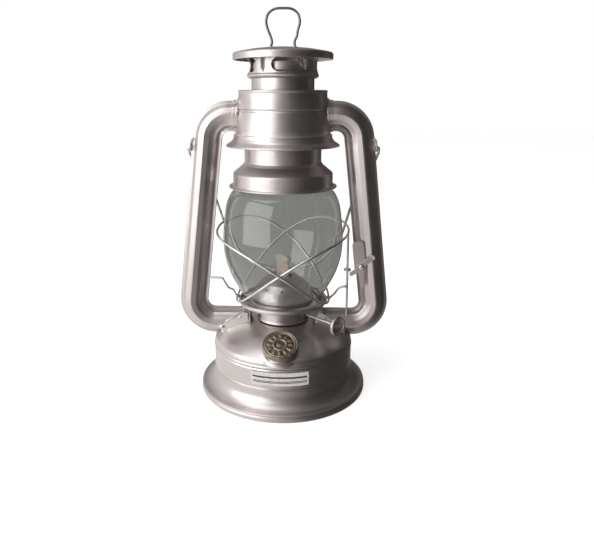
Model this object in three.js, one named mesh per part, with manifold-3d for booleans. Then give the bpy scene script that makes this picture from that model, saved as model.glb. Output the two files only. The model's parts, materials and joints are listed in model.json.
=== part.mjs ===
// Tubular hurricane lantern in silver paint: a tin fount with its burner and wick, two hollow air tubes
// up to a hood, a glass globe in a wire carriage that a side lever lifts, a chimney that pulls up
// through the hood by its ring, and a wire bail hanging behind. Millimetres, +Z up, origin at the
// centre of the base, the filler cap on the -Y side and the lift lever on the +X side.
import * as THREE from 'three';
import { mergeVertices } from 'three/addons/utils/BufferGeometryUtils.js';
import Module from 'manifold-3d';

const wasm = await Module();
wasm.setup();

// ---------------------------------------------------------------- driving dimensions

const GAP = 0.35; // clearance between pieces that touch
const SHEET = 0.9; // tinplate thickness
const ROUND = 24; // facets round a large turned piece
const SMALL_ROUND = 20; // facets round a small turned piece
const DEG = Math.PI / 180;

const FOUNT_R = 50.7; // straight band of the fount
const BASE_R = 60.9; // rolled foot
const FOOT_INNER_R = 58.5;
const BAND_BOTTOM = 14.7;
const SEAM_Z = 33.2; // where the dome is soldered to the band
const DOME_EDGE = [50.7, 36.6];
const DOME_SHOULDER = [49.9, 39.3];
const DOME_CONTROL = [38, 48.5];
const DOME_MOUTH = [16.3, 51.4];
const FLOOR_Z = 6;
const COLLAR_WALL = 2.1;
const LABEL_HALF_ANGLE = 22.3 * DEG;

const FILLER_REACH = 41.3; // where the filler axis leaves the dome
const FILLER_Z = 44.4;
const FILLER_TILT = 26 * DEG;
const FILLER_NECK_R = 9.6;
const FILLER_CAP_R = 12.4;

const BURNER_R = 18.6;
const BURNER_FOOT_Z = 51.9;
const BURNER_TURN = -44 * DEG; // the knob's side of the burner, from +X towards the front
const GALLERY_R = 22.6;
const GALLERY_Z = 68;
const CONE_TOP_Z = 86.2;
const WICK = { width: 12, thick: 2.2, bottom: 24, top: 100 };
const WICK_TUBE = { width: 14.2, thick: 4.4, bottom: 47, top: 82.5 };
const SHAFT_Z = 57.8;
const SHAFT_OFFSET = 4.1;
const SHAFT_R = 0.9;
const SPROCKET_R = 2.6;
const KNOB_R = 7;
const KNOB_REACH = 48;
const FLAME_SLOT = { width: 17, thick: 6.4 };

const TUBE_TOP_Z = 200; // centre of the tubes' top run
const TUBE_FOOT_Z = 48; // centre of the tubes' bottom run
const TUBE_TOP_X = 52.3; // where the centre lines of the runs would meet
const TUBE_FOOT_X = 68.9;
const TUBE_BEND = 17;
const TUBE_LEAN = Math.atan((TUBE_FOOT_X - TUBE_TOP_X) / (TUBE_TOP_Z - TUBE_FOOT_Z));
const SADDLE_END_X = 45.5;
const SADDLE_HALF_DEPTH = 7.7;

const PLATE_R = 32.2;
const PLATE_Z = 65.4;
const GLOBE_FOOT_Z = 66.75;
const GLASS = 1.7;
const GUARD_WIRE_R = 0.8;
const GUARD = { shift: 6.7, reach: 40.5, middle: 93, rise: 26, belly: 13, lean: 4.4, openAngle: 8 * DEG };
const ROD_X = 46.8;
const ROD_Y = -4;
const ROD_FOOT_Z = 45.5;
const ROD_STOP_Z = 89.1;
const LEVER_Z = 100; // height of the lever's own frame on the right tube
const LEVER_PIVOT = [-7.5, -6];
const RIVET_HOLE_R = 1.45;

const BELL_NECK_R = 27;
const BELL_R = 35.2;
const BELL_FOOT_Z = 149.9;
const HOOD_TOP_Z = 216.6;
const HOOD_FOOT_Z = 184.3;
const HOOD_R = 33;
const SPRING = { radius: 24.3, bottom: 187.4, top: 214.4, turns: 5 };
const CHIMNEY_R = 21.6;
const CHIMNEY_FOOT_Z = 172;
const CHIMNEY_TOP_Z = 230;
const VENT_FOOT_Z = 224.3;
const VENT_SLOTS = 4;
const VENT_SLOT = { halfLength: 8, radius: 4.5, z: 232.7, turn: 15 };
const CANOPY_R = 34.2;
const CANOPY_TOP_Z = 245;
const HANDLE_LEG_X = 8;

const BAIL_PIVOT_Z = 177.6;
const BAIL_WIRE_R = 1.2;
const BAIL_END_X = 68.9;
const EAR_X = 66.2;
const BAIL_HANG = 24 * DEG; // how far behind straight down the bail hangs, against the tubes
const BAIL_LENGTH = 112;

// ---------------------------------------------------------------- materials

function finish(color, roughness, metalness) {
  return new THREE.MeshStandardMaterial({ color, roughness, metalness });
}

const silverPaint = finish(0xb9b5b2, 0.38, 0.6);
const barePlate = finish(0x9b9894, 0.42, 0.85);
const wireSteel = finish(0xc4c1bc, 0.3, 0.9);
const springSteel = finish(0x7d7b78, 0.35, 0.9);
const agedBrass = finish(0x6d6047, 0.4, 0.85);
const brass = finish(0xa38a55, 0.35, 0.9);
const blackRubber = finish(0x1d1c1b, 0.8, 0);
const cotton = finish(0xe2d9c2, 0.95, 0);
const glass = new THREE.MeshStandardMaterial({
  color: 0xdfe8e4, roughness: 0.05, metalness: 0, transparent: true, opacity: 0.3,
});

// ---------------------------------------------------------------- building helpers

// Six times the signed volume of an indexed mesh, positive when its faces point out.
function signedVolume(position, index) {
  const [a, b, c] = [new THREE.Vector3(), new THREE.Vector3(), new THREE.Vector3()];
  let total = 0;
  for (let i = 0; i < index.length; i += 3) {
    a.fromBufferAttribute(position, index[i]);
    b.fromBufferAttribute(position, index[i + 1]);
    c.fromBufferAttribute(position, index[i + 2]);
    total += a.dot(b.cross(c));
  }
  return total;
}

// A geometry as one indexed skin of shared corners, without collapsed faces, its faces pointing out.
function closed(geometry) {
  const bare = geometry.clone();
  bare.deleteAttribute('normal');
  bare.deleteAttribute('uv');
  const skin = mergeVertices(bare, 1e-4);
  const kept = [];
  for (let i = 0; i < skin.index.count; i += 3) {
    const [a, b, c] = [skin.index.getX(i), skin.index.getX(i + 1), skin.index.getX(i + 2)];
    if (a !== b && b !== c && c !== a) kept.push(a, b, c);
  }
  if (signedVolume(skin.attributes.position, kept) < 0) kept.reverse();
  skin.setIndex(kept);
  return skin;
}

function solid(geometry) {
  const skin = closed(geometry);
  return new wasm.Manifold(new wasm.Mesh({
    numProp: 3,
    vertProperties: new Float32Array(skin.attributes.position.array),
    triVerts: new Uint32Array(skin.index.array),
  }));
}

function geometryOf(manifold) {
  const mesh = manifold.getMesh();
  const geometry = new THREE.BufferGeometry();
  geometry.setAttribute('position', new THREE.BufferAttribute(mesh.vertProperties, 3));
  geometry.setIndex(new THREE.BufferAttribute(mesh.triVerts, 1));
  return geometry;
}

function cutFrom(geometry, ...tools) {
  let body = solid(geometry);
  for (const tool of tools) body = body.subtract(solid(tool));
  return geometryOf(body);
}

function joined(first, ...others) {
  let body = solid(first);
  for (const other of others) body = body.add(solid(other));
  return geometryOf(body);
}

// Turns a profile of [radius, height] points about +Z; off the axis it closes on itself.
function revolve(profile, facets = ROUND) {
  const points = profile.map(([r, z]) => new THREE.Vector2(r, z));
  const first = points[0];
  const last = points[points.length - 1];
  if (first.x > 0 || last.x > 0) points.push(first.clone());
  return new THREE.LatheGeometry(points, facets).rotateX(Math.PI / 2);
}

function box(x, y, z, [cx, cy, cz]) {
  return new THREE.BoxGeometry(x, y, z).translate(cx, cy, cz);
}

// A round bar centred on the origin along one axis.
function bar(radius, length, axis, facets = SMALL_ROUND) {
  const geometry = new THREE.CylinderGeometry(radius, radius, length, facets);
  if (axis === 'x') geometry.rotateZ(-Math.PI / 2);
  if (axis === 'z') geometry.rotateX(Math.PI / 2);
  return geometry;
}

function plateShape(points) {
  return new THREE.Shape(points.map(([x, y]) => new THREE.Vector2(x, y)));
}

// A flat plate drawn in X and Z, its thickness along Y from front to front + thickness.
function uprightPlate(shape, front, thickness, curveSegments = 8) {
  const geometry = new THREE.ExtrudeGeometry(shape, { depth: thickness, bevelEnabled: false, curveSegments });
  return geometry.rotateX(Math.PI / 2).translate(0, front + thickness, 0);
}

function arc(centre, radius, from, to, steps) {
  const points = [];
  for (let i = 0; i <= steps; i += 1) {
    const angle = (from + ((to - from) * i) / steps) * DEG;
    points.push([centre[0] + radius * Math.cos(angle), centre[1] + radius * Math.sin(angle)]);
  }
  return points;
}

// A route given by its stations, each a point and the direction there, so that bends get the
// steps and straight lengths need none.
class Route extends THREE.Curve {
  constructor(stations) {
    super();
    this.stations = stations;
  }

  station(u) {
    return this.stations[Math.round(u * (this.stations.length - 1))];
  }

  getPointAt(u, target = new THREE.Vector3()) {
    return target.copy(this.station(u).point);
  }

  getTangentAt(u, target = new THREE.Vector3()) {
    return target.copy(this.station(u).tangent);
  }
}

// Straight lengths between corners, with an arc of the bend radius at each corner.
function bentRoute(corners, bend, stepsPerTurn) {
  const points = corners.map(([x, y, z]) => new THREE.Vector3(x, y, z));
  const heading = (i) => points[i + 1].clone().sub(points[i]).normalize();
  const stations = [{ point: points[0], tangent: heading(0) }];
  for (let i = 1; i < points.length - 1; i += 1) {
    const before = heading(i - 1);
    const after = heading(i);
    const turn = before.angleTo(after);
    const axis = before.clone().cross(after).normalize();
    const inward = axis.clone().cross(before);
    const centre = points[i].clone().addScaledVector(before, -bend * Math.tan(turn / 2));
    centre.addScaledVector(inward, bend);
    const steps = Math.max(2, Math.ceil((turn * stepsPerTurn) / (2 * Math.PI)));
    for (let k = 0; k <= steps; k += 1) {
      const angle = (turn * k) / steps;
      const spoke = inward.clone().negate().applyAxisAngle(axis, angle);
      stations.push({
        point: centre.clone().addScaledVector(spoke, bend),
        tangent: before.clone().applyAxisAngle(axis, angle),
      });
    }
  }
  stations.push({ point: points[points.length - 1], tangent: heading(points.length - 2) });
  return new Route(stations);
}

// A route from a formula for the point at t, from 0 to 1.
function plottedRoute(pointAt, steps) {
  const stations = [];
  for (let i = 0; i <= steps; i += 1) {
    const t = i / steps;
    const ahead = pointAt(Math.min(1, t + 1e-3));
    const behind = pointAt(Math.max(0, t - 1e-3));
    stations.push({ point: pointAt(t), tangent: ahead.sub(behind).normalize() });
  }
  return new Route(stations);
}

function sweep(shape, route) {
  return new THREE.ExtrudeGeometry(shape, { steps: route.stations.length - 1, extrudePath: route });
}

function wire(route, radius, sides = 6) {
  return sweep(plateShape(arc([0, 0], radius, 0, 360 - 360 / sides, sides - 1)), route);
}

// ---------------------------------------------------------------- the lantern

const lantern = new THREE.Group();

function add(name, geometry, material, parent = lantern) {
  const mesh = new THREE.Mesh(closed(geometry), material);
  mesh.name = name;
  parent.add(mesh);
}

function group(position, rotation) {
  const nest = new THREE.Group();
  nest.position.set(...position);
  nest.rotation.set(...rotation);
  lantern.add(nest);
  return nest;
}

// Outer line of the dome from its rim to its mouth, moved out by an offset.
function domeLine(offset = 0) {
  const curve = new THREE.QuadraticBezierCurve(
    new THREE.Vector2(...DOME_SHOULDER),
    new THREE.Vector2(...DOME_CONTROL),
    new THREE.Vector2(...DOME_MOUTH),
  );
  const line = [[DOME_EDGE[0] + offset, DOME_EDGE[1]]];
  const steps = 4;
  for (let i = 0; i <= steps; i += 1) {
    const point = curve.getPoint(i / steps);
    const along = curve.getTangent(i / steps);
    line.push([point.x + along.y * offset, point.y - along.x * offset]);
  }
  return line;
}

// The room that the dome takes up, with clearance, for trimming what sits on it.
function domeEnvelope() {
  const line = domeLine(GAP);
  const top = line[line.length - 1];
  return revolve([[0, SEAM_Z], [FOUNT_R + GAP, SEAM_Z], ...line, [0, top[1]]]);
}

function fount() {
  const flare = 9.2;
  const flareCentre = [FOUNT_R + flare, BAND_BOTTOM];
  add('fount_base', revolve([
    [FOOT_INNER_R, 0], [BASE_R - 0.7, 0], [BASE_R, 0.9], [BASE_R, 3.7], [BASE_R - 0.5, 4.8],
    ...arc(flareCentre, flare, 270, 180, 4),
    [FOUNT_R, SEAM_Z - GAP], [FOUNT_R - SHEET, SEAM_Z - GAP],
    ...arc(flareCentre, flare + SHEET, 180, 270, 4),
    [FOOT_INNER_R, 3.8],
  ]), silverPaint);

  const rim = FOUNT_R - SHEET - GAP;
  add('fount_bottom', revolve([
    [0, FLOOR_Z], [45.6, FLOOR_Z], [rim, 10.6], [rim, 14.4], [rim - SHEET, 14.4],
    [rim - SHEET, 11], [45.2, FLOOR_Z + SHEET], [0, FLOOR_Z + SHEET],
  ]), barePlate);

  const shell = revolve([[FOUNT_R, SEAM_Z], ...domeLine(), ...domeLine(-SHEET).reverse(),
    [FOUNT_R - SHEET, SEAM_Z]]);
  const fillerHole = bar(FILLER_NECK_R + GAP, 16, 'z', 28)
    .rotateX(FILLER_TILT).translate(0, -FILLER_REACH, FILLER_Z);
  add('fount_dome', cutFrom(shell, fillerHole), silverPaint);

  const mouth = DOME_MOUTH[0] - GAP;
  add('fount_collar', revolve([
    [mouth - COLLAR_WALL, 49.4], [mouth, 49.4], [mouth, 53.7], [mouth - COLLAR_WALL, 53.7],
  ], 28), brass);

  const label = new THREE.Shape();
  const front = -90 * DEG;
  const labelBack = FOUNT_R + GAP;
  label.absarc(0, 0, labelBack + 0.7, front - LABEL_HALF_ANGLE, front + LABEL_HALF_ANGLE, false);
  label.absarc(0, 0, labelBack, front + LABEL_HALF_ANGLE, front - LABEL_HALF_ANGLE, true);
  const labelPlate = new THREE.ExtrudeGeometry(label, { depth: 9.5, bevelEnabled: false, curveSegments: 8 });
  add('nameplate', labelPlate.translate(0, 0, 22), silverPaint);
}

function filler() {
  const nest = group([0, -FILLER_REACH, FILLER_Z], [FILLER_TILT, 0, 0]);
  add('filler_neck', revolve([
    [FILLER_NECK_R - 1, -2], [FILLER_NECK_R, -2], [FILLER_NECK_R, 3], [FILLER_NECK_R - 1, 3],
  ], 28), brass, nest);
  add('filler_gasket', revolve([[0, 3.35], [10.5, 3.35], [10.5, 4.15], [0, 4.15]], 28), blackRubber, nest);
  add('filler_cap', revolve([
    [0, 5.4], [10.9, 5.4], [FILLER_CAP_R - 0.4, 5.2], [FILLER_CAP_R, 4.7], [FILLER_CAP_R, 1.2],
    [FILLER_CAP_R - 1.3, 1.2], [FILLER_CAP_R - 1.3, 4.5], [0, 4.5],
  ], 28), agedBrass, nest);
}

// The burner, turned so that its own +X runs along the wick shaft towards the knob.
function burner() {
  const nest = group([0, 0, 0], [0, 0, BURNER_TURN]);
  const shaftHole = bar(1.5, 10, 'x', 12).translate(BURNER_R, SHAFT_OFFSET, SHAFT_Z);
  const body = revolve([
    [BURNER_R, BURNER_FOOT_Z], [BURNER_R, 61.5], [GALLERY_R, GALLERY_Z - 0.8], [GALLERY_R, GALLERY_Z],
    [GALLERY_R - SHEET, GALLERY_Z], [GALLERY_R - SHEET, GALLERY_Z - 0.5],
    [BURNER_R - SHEET, 61.9], [BURNER_R - SHEET, BURNER_FOOT_Z],
  ]);
  add('burner_body', cutFrom(body, shaftHole), silverPaint, nest);

  const spigot = DOME_MOUTH[0] - GAP - COLLAR_WALL - GAP;
  const base = revolve([
    [0, 50.4], [spigot, 50.4], [spigot, 54.05], [17.3, 54.05], [17.3, 54.85], [0, 54.85],
  ]);
  const wickSlot = box(WICK_TUBE.width + 0.7, WICK_TUBE.thick + 0.8, 12, [0, 0, 52]);
  add('burner_base', cutFrom(base, wickSlot), brass, nest);

  const height = WICK_TUBE.top - WICK_TUBE.bottom;
  const middle = (WICK_TUBE.top + WICK_TUBE.bottom) / 2;
  add('wick_tube', cutFrom(
    box(WICK_TUBE.width, WICK_TUBE.thick, height, [0, 0, middle]),
    box(WICK.width + 0.8, WICK.thick + 0.8, height + 2, [0, 0, middle]),
    box(9.2, 2, 2 * SPROCKET_R + 1.6, [0, 2.2, SHAFT_Z]),
  ), brass, nest);

  const cone = revolve([
    [22.8, GALLERY_Z + GAP], [22.8, 69.8], [20.8, 74.2], [16.2, 79.8], [9.6, 84.5], [0, CONE_TOP_Z],
    [0, CONE_TOP_Z - 0.7], [9.2, 83.9], [15.6, 79.3], [20.1, 73.9], [22.1, 69.7], [22.1, GALLERY_Z + GAP],
  ], 24);
  const flameSlot = box(FLAME_SLOT.width, FLAME_SLOT.thick, 14, [0, 0, CONE_TOP_Z]);
  add('burner_cone', cutFrom(cone, flameSlot), silverPaint, nest);

  const wickHeight = WICK.top - WICK.bottom;
  add('wick', new THREE.ExtrudeGeometry(plateShape([
    [-WICK.width / 2, 0], [WICK.width / 2, 0], [WICK.width / 2, wickHeight - 3],
    [WICK.width / 2 - 2, wickHeight], [2 - WICK.width / 2, wickHeight], [-WICK.width / 2, wickHeight - 3],
  ]), { depth: WICK.thick, bevelEnabled: false })
    .rotateX(Math.PI / 2).translate(0, WICK.thick / 2, WICK.bottom), cotton, nest);

  const shaftStart = -6;
  const shaftEnd = KNOB_REACH - GAP;
  add('wick_shaft', bar(SHAFT_R, shaftEnd - shaftStart, 'x', 12)
    .translate((shaftStart + shaftEnd) / 2, SHAFT_OFFSET, SHAFT_Z), wireSteel, nest);
  add('wick_sprocket', revolve([
    [SHAFT_R + GAP, -4], [SPROCKET_R, -4], [SPROCKET_R, 4], [SHAFT_R + GAP, 4],
  ], 16).rotateY(Math.PI / 2).translate(0, SHAFT_OFFSET, SHAFT_Z), brass, nest);
  add('wick_knob', revolve([
    [0, 0], [2.4, 0], [2.4, 0.8], [KNOB_R - 0.8, 0.8], [KNOB_R, 1.4], [KNOB_R, 3.6],
    [KNOB_R - 1.6, 3.6], [KNOB_R - 2, 2], [2, 2], [1.6, 2.8], [0, 2.8],
  ], 16).rotateY(Math.PI / 2).translate(KNOB_REACH, SHAFT_OFFSET, SHAFT_Z), silverPaint, nest);
}

// Section of an air tube: x towards the window that the tube encloses, y through its depth. It has a
// narrow seam on the outside, a slanted outer face, a front face, a ridge, and a wider inner seam.
function tubeSection() {
  const half = [
    [-9.5, 0.6], [-8.6, 0.6], [-8.2, 2.6], [-5.5, 5.6], [-1.6, 7.4], [-0.6, 7.6],
    [3, 6.6], [4.2, 5.6], [5.2, 6], [7, 5.6], [8.8, 3.6], [9.3, 0.6], [11.3, 0.6],
  ];
  const bore = [[-7.2, 2.2], [-5, 4.6], [-0.8, 6.6], [2.8, 5.6], [6.6, 4.6], [7.9, 3]];
  const mirrored = (points) => [...points, ...points.map(([x, y]) => [x, -y]).reverse()];
  const section = plateShape(mirrored(half));
  section.holes.push(plateShape(mirrored(bore).reverse()));
  return section;
}

// The slanting cut where the tube's lower end meets its saddle, as a line from inner top to outer foot.
function saddleLine(drop) {
  return [[28.9, 57.8 - drop], [SADDLE_END_X, 47.5 - drop]];
}

function rightTube() {
  const route = bentRoute([
    [24, 0, TUBE_TOP_Z], [TUBE_TOP_X, 0, TUBE_TOP_Z], [TUBE_FOOT_X, 0, TUBE_FOOT_Z], [24, 0, TUBE_FOOT_Z],
  ], TUBE_BEND, 20);
  const hoodRoom = revolve([
    [0, 180], [33.5, 180], [33.5, 190.5], [31.8, 202], [31.6, 212], [0, 212],
  ]);
  const [inner, outer] = saddleLine(0);
  const below = uprightPlate(plateShape([
    [10, 70], [10, 30], [outer[0], 30], outer, inner, [inner[0], 70],
  ]), -12, 24);
  return cutFrom(sweep(tubeSection(), route), hoodRoom, domeEnvelope(), below);
}

// A folded duct under the tube's slanting cut, open upward to the tube and inward to the burner.
function rightSaddle() {
  const [inner, outer] = saddleLine(GAP + 0.15);
  const innerX = 25.6;
  const half = SADDLE_HALF_DEPTH;
  const body = uprightPlate(plateShape([
    [innerX, 44], [outer[0], 38], outer, inner, [innerX, inner[1] - 0.6],
  ]), -half, 2 * half);
  const bore = uprightPlate(plateShape([
    [innerX - 1, 38], [outer[0] - SHEET, 38], [outer[0] - SHEET, outer[1] - SHEET - 0.2],
    [inner[0], inner[1] - SHEET - 0.2], [innerX - 1, inner[1] - SHEET - 0.8],
  ]), SHEET - half, 2 * (half - SHEET));
  const mouth = box(8, 2 * (half - SHEET), 5, [37, 0, 55]);
  return cutFrom(body, bore, mouth, domeEnvelope());
}

function airTubes() {
  const tube = rightTube();
  const rodHole = bar(GUARD_WIRE_R + 0.5, 12, 'z', 12).translate(ROD_X, ROD_Y, TUBE_FOOT_Z + 8);
  add('right_tube', cutFrom(tube, rodHole), silverPaint);
  add('left_tube', tube.clone().scale(-1, 1, 1), silverPaint);
  const saddle = rightSaddle();
  add('right_saddle', saddle, silverPaint);
  add('left_saddle', saddle.clone().scale(-1, 1, 1), silverPaint);
}

function hood() {
  const shell = revolve([
    [CHIMNEY_R + 0.5, HOOD_TOP_Z], [29.2, HOOD_TOP_Z], [30.2, 215.8], [30.9, 210], [31, 204.2],
    [30.4, 203.2],
    [31.2, 202.2], [32.3, 194], [HOOD_R, 189.5], [HOOD_R, HOOD_FOOT_Z],
    [HOOD_R - SHEET, HOOD_FOOT_Z], [HOOD_R - SHEET, 189.3], [31.3, 193.8], [30, 203.2],
    [29.9, 210], [29.2, 215.7],
    [CHIMNEY_R + 0.5, 215.7],
  ]);
  const airWay = bar(6, 90, 'x', 14).translate(0, 0, TUBE_TOP_Z);
  add('hood_drum', cutFrom(shell, airWay), silverPaint);
  add('hood_skirt', revolve([
    [HOOD_R + GAP, 187], [34.3, 187], [34.3, 184.6], [35.6, 182.2], [39.2, 179.8], [39.8, 179],
    [39.2, 178.5], [35, 181.2], [HOOD_R + GAP, 184],
  ]), silverPaint);

  add('chimney_spring', wire(plottedRoute((t) => {
    const angle = 2 * Math.PI * SPRING.turns * t;
    const z = SPRING.bottom + (SPRING.top - SPRING.bottom) * t;
    return new THREE.Vector3(SPRING.radius * Math.cos(angle), SPRING.radius * Math.sin(angle), z);
  }, 60), 0.8, 4), springSteel);
}

function chimney() {
  add('chimney_tube', revolve([
    [CHIMNEY_R - SHEET, CHIMNEY_FOOT_Z], [CHIMNEY_R, CHIMNEY_FOOT_Z],
    [CHIMNEY_R, CHIMNEY_TOP_Z], [CHIMNEY_R - SHEET, CHIMNEY_TOP_Z],
  ]), silverPaint);

  const seat = CHIMNEY_R + GAP;
  add('globe_bell', revolve([
    [seat, 186], [24.5, 186], [BELL_NECK_R, 183.8], [BELL_NECK_R, 167.2], [28.2, 165.6], [33.2, 161.8],
    [BELL_R, 159.8], [BELL_R, 151.4], [38.2, 150.9], [38.2, BELL_FOOT_Z], [34.3, BELL_FOOT_Z],
    [34.3, 159.4], [32.6, 161], [27.4, 164.8], [BELL_NECK_R - SHEET, 166.8], [BELL_NECK_R - SHEET, 183.4],
    [24.1, 185.1], [seat, 185.1],
  ]), silverPaint);

  const ring = revolve([
    [seat, VENT_FOOT_Z], [24.1, VENT_FOOT_Z], [24.7, 225.4], [24.1, 226.6], [23.6, 227.6], [24.2, 241.2],
    [24.2 - SHEET, 241.2], [23.6 - SHEET, 227.4], [seat, 226],
  ], 32);
  const slots = [];
  const slot = new THREE.Shape();
  slot.absarc(-VENT_SLOT.halfLength, 0, VENT_SLOT.radius, 90 * DEG, 270 * DEG, false);
  slot.absarc(VENT_SLOT.halfLength, 0, VENT_SLOT.radius, -90 * DEG, 90 * DEG, false);
  for (let i = 0; i < VENT_SLOTS; i += 1) {
    const turn = VENT_SLOT.turn + (360 / VENT_SLOTS) * i;
    slots.push(uprightPlate(slot, -32, 22, 4).translate(0, 0, VENT_SLOT.z).rotateZ(turn * DEG));
  }
  add('vent_ring', cutFrom(ring, ...slots), silverPaint);

  const cap = revolve([
    [0, CANOPY_TOP_Z], [12, 244.6], [22, 243.5], [30, 242], [33.4, 241.2], [CANOPY_R, 240.4],
    [CANOPY_R, 236.5], [CANOPY_R - SHEET, 236.5], [CANOPY_R - SHEET, 240.1], [30, 241.1], [22, 242.6],
    [12, 243.7], [0, CANOPY_TOP_Z - SHEET],
  ]);
  const legHoles = [-1, 1].map((side) => bar(1.25, 12, 'z', 10).translate(side * HANDLE_LEG_X, 0, 244));
  add('canopy', cutFrom(cap, ...legHoles), silverPaint);

  const half = [
    [HANDLE_LEG_X, 240.9], [HANDLE_LEG_X, 246], [7.8, 249.6], [9.3, 254.2], [11, 259],
    [11.2, 262.5], [9.6, 266.9], [5.6, 269.7],
  ];
  const outline = [...half, [0, 270.2], ...half.map(([x, z]) => [-x, z]).reverse()];
  const loop = new THREE.CatmullRomCurve3(outline.map(([x, z]) => new THREE.Vector3(x, 0, z)));
  add('ring_handle', wire(plottedRoute((t) => loop.getPoint(t), 28), 0.8), wireSteel);
}

// Outer line of the globe, foot to top.
function globeLine(inset) {
  const outer = new THREE.SplineCurve([
    [28.4, GLOBE_FOOT_Z], [29.4, 71], [33, 77.2], [36.8, 84], [39.9, 91.5], [42.3, 101], [43.1, 112],
    [42.7, 120], [41.8, 129], [40.6, 137.5], [37.2, 145], [32.8, 149.2], [31, 153], [30.9, 157.4],
  ].map(([r, z]) => new THREE.Vector2(r, z)));
  return outer.getPoints(11).map((point) => [point.x - inset, point.y]);
}

// One loop of the globe guard: high on one side, low on the other where both ends meet the plate.
function guardLoop(highSide, depth) {
  const half = Math.PI - GUARD.openAngle;
  return plottedRoute((t) => {
    const turn = half - 2 * half * t;
    const across = highSide * (GUARD.shift + GUARD.reach * Math.cos(turn));
    const y = depth * Math.sin(turn);
    const level = GUARD.middle + GUARD.rise * Math.cos(turn);
    const z = level + GUARD.belly * Math.sin(turn) ** 2 + GUARD.lean * Math.sin(turn);
    return new THREE.Vector3(across, y, z);
  }, 36);
}

function globeCarriage() {
  add('globe', revolve([...globeLine(0), ...globeLine(GLASS).reverse()]), glass);
  add('globe_plate', revolve([
    [24, PLATE_Z], [30.2, PLATE_Z], [30.8, 64.4], [31.8, 64.4], [PLATE_R + 0.3, 65.4], [PLATE_R + 0.3, 66.8],
    [31.8, 67.6], [30.8, 67.4], [30.4, 66.4], [24, 66.4],
  ]), silverPaint);
  add('guard_loop_left', wire(guardLoop(-1, 48.2), GUARD_WIRE_R), wireSteel);
  add('guard_loop_right', wire(guardLoop(1, 46.2), GUARD_WIRE_R), wireSteel);
  add('left_arm', wire(bentRoute([
    [-33.9, 0, 66.3], [-36.6, -1, 72.4], [-40.4, -1.5, 74.2], [-44.6, -1.8, 81.8], [-54.3, -1.8, 82],
  ], 1.6, 16), GUARD_WIRE_R), wireSteel);
  add('right_arm', wire(bentRoute([
    [33.9, 0, 66.3], [37.6, -1.2, 70.2], [40.9, -3, 75.6], [45.5, ROD_Y, 77.4],
  ], 2.4, 16), GUARD_WIRE_R), wireSteel);
  add('lift_rod', wire(bentRoute([
    [47, -1.6, 116.7], [ROD_X, ROD_Y, 113.6], [ROD_X, ROD_Y, ROD_FOOT_Z],
  ], 1.6, 16), GUARD_WIRE_R, 8), wireSteel);
  add('rod_stop', revolve([
    [GUARD_WIRE_R + GAP, ROD_STOP_Z], [2.6, ROD_STOP_Z],
    [2.6, ROD_STOP_Z + 1.4], [GUARD_WIRE_R + GAP, ROD_STOP_Z + 1.4],
  ], 14).translate(ROD_X, ROD_Y, 0), wireSteel);
}

// The lever works in a frame that leans with the right tube, its origin on the tube's centre line.
function liftLever() {
  const across = TUBE_TOP_X + (TUBE_TOP_Z - LEVER_Z) * Math.tan(TUBE_LEAN);
  const nest = group([across, 0, LEVER_Z], [0, -TUBE_LEAN, 0]);
  const rivetHole = new THREE.Path();
  rivetHole.absarc(...LEVER_PIVOT, RIVET_HOLE_R, 0, 2 * Math.PI, true);

  const bracket = plateShape([
    [-11.6, -9], [-4.4, -9], [-4.4, 11], [-6, 12.6], [-11, 12.6], [-12.6, 11], [-12.6, -6],
  ]);
  bracket.holes.push(rivetHole);
  add('lever_bracket', uprightPlate(bracket, -8, SHEET), silverPaint, nest);

  const blade = plateShape([
    [-16.4, -11.6], [-14.6, -11.8], [-10.2, -9.4], [-9.4, -21], [-8.2, -22], [-7, -21], [-5.6, -9],
    [-4, -5], [2.2, -0.4], [2.2, 2.2], [0, 2.2], [-7, -2], [-10.4, -4], [-11, -6], [-16.4, -9.4],
  ]);
  blade.holes.push(rivetHole);
  const thumb = box(1.6, 5, 2.6, [1.4, -11.2, 0.9]);
  const prong = bar(GUARD_WIRE_R, 3.7, 'y', 8).translate(-15.4, -7.15, -10.5);
  add('lift_lever', joined(uprightPlate(blade, -9.4, SHEET), thumb, prong), silverPaint, nest);

  const rivet = joined(
    bar(1.05, 3.8, 'y', 12).translate(0, -8.3, 0),
    bar(2.2, 0.8, 'y', 12).translate(0, -10.2, 0),
    bar(1.7, 0.5, 'y', 12).translate(0, -6.5, 0),
  );
  add('lever_rivet', rivet.translate(LEVER_PIVOT[0], 0, LEVER_PIVOT[1]), wireSteel, nest);
}

function bailAndEars() {
  const eye = bar(3.7, 1.2, 'x', 16).translate(EAR_X, 0, BAIL_PIVOT_Z);
  const foot = box(2.2, 4.4, 4.6, [EAR_X - 0.5, 0, BAIL_PIVOT_Z + 4.6]);
  const bore = bar(BAIL_WIRE_R + GAP, 8, 'x', 12).translate(EAR_X, 0, BAIL_PIVOT_Z);
  const ear = cutFrom(joined(eye, foot), bore);
  add('right_bail_ear', ear, silverPaint);
  add('left_bail_ear', ear.clone().scale(-1, 1, 1), silverPaint);

  const nest = group([0, 0, BAIL_PIVOT_Z], [BAIL_HANG, 0, 0]);
  const side = [[64.9, 0], [BAIL_END_X, 0], [BAIL_END_X, -11], [51, -45], [45.3, -72]];
  const arch = [[40.5, -92], [27, -107], [9, -BAIL_LENGTH]];
  const half = [...side, ...arch].map(([x, z]) => [x, 0, z]);
  const corners = [...half, ...half.map(([x, y, z]) => [-x, y, z]).reverse()];
  add('bail', wire(bentRoute(corners, 2.2, 12), BAIL_WIRE_R, 6), wireSteel, nest);
}

fount();
filler();
burner();
airTubes();
hood();
chimney();
globeCarriage();
liftLever();
bailAndEars();

export default lantern;
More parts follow.
